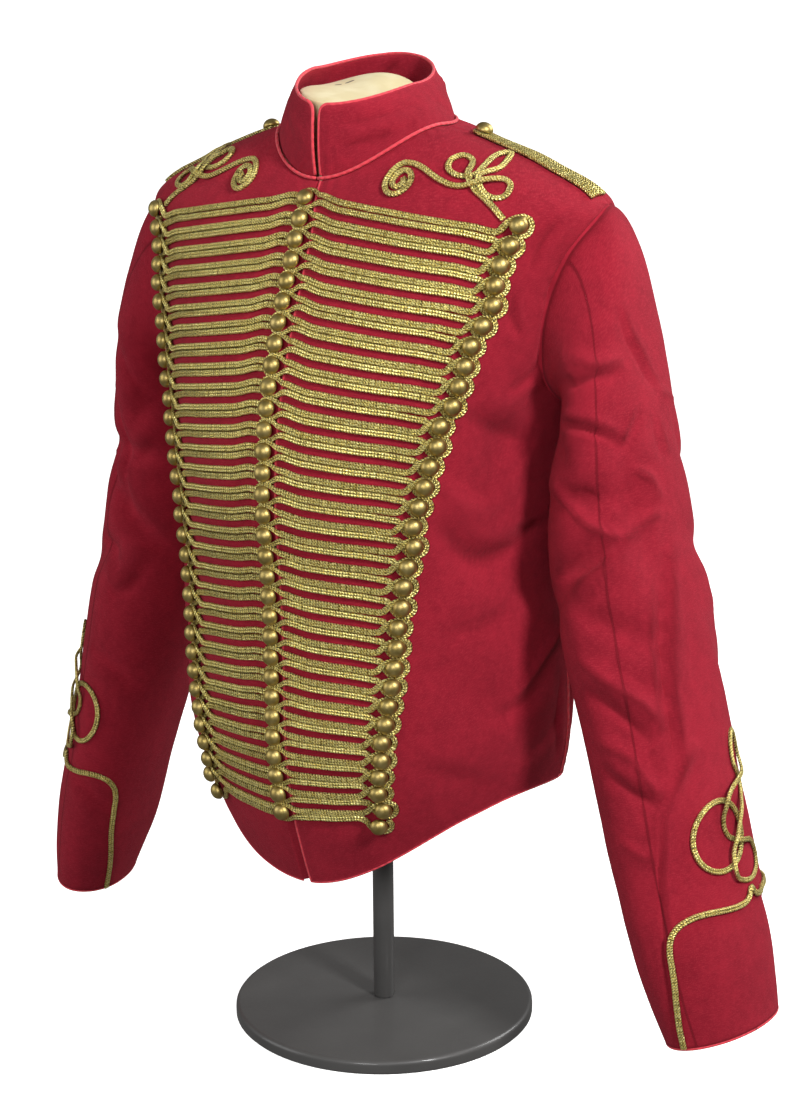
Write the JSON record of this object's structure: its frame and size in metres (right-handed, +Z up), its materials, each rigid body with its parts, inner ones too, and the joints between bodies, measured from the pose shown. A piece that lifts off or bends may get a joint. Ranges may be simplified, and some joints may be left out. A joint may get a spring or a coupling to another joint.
{
  "type": "military dress tunic on a dress form",
  "caption": "Waist-length hussar tunic with stand collar, corded frogging, dome buttons and piping, worn by a limbless dress form on a pole stand.",
  "frame": {"origin": "centre of the underside of the stand's base", "axes": "+Z up, -Y the way the wearer faces, +X the wearer's left"},
  "size_m": [0.7063, 0.2921, 0.8085],
  "materials": {
    "cloth": "matt crimson cotton twill",
    "piping": "coral red corded piping",
    "gold_cord": "twisted gold metal thread cord",
    "buttons": "satin brass domes",
    "form_cover": "cream cotton cover",
    "stand": "satin dark paint"
  },
  "bodies": {
    "root": {"front_left": "cloth", "front_right": "cloth", "back_left": "cloth", "back_right": "cloth", "sleeve_top_left": "cloth", "sleeve_top_right": "cloth", "sleeve_under_left": "cloth", "sleeve_under_right": "cloth", "collar": "cloth", "piping_left": "piping", "piping_right": "piping", "cuff_piping_left": "piping", "cuff_piping_right": "piping", "collar_piping": "piping", "neck_piping": "piping", "frogging_left": "gold_cord", "frogging_right": "gold_cord", "breast_knot_left": "gold_cord", "breast_knot_right": "gold_cord", "shoulder_cord_left": "gold_cord", "shoulder_cord_right": "gold_cord", "cuff_braid_left": "gold_cord", "cuff_braid_right": "gold_cord", "cuff_chain_left": "gold_cord", "cuff_chain_right": "gold_cord", "cuff_ring_left": "gold_cord", "cuff_ring_right": "gold_cord", "buttons_left": "buttons", "buttons_right": "buttons", "buttons_centre": "buttons", "shoulder_button_left": "buttons", "shoulder_button_right": "buttons", "dress_form": "form_cover", "stand_pole": "stand", "stand_base": "stand"}
  },
  "joints": []
}
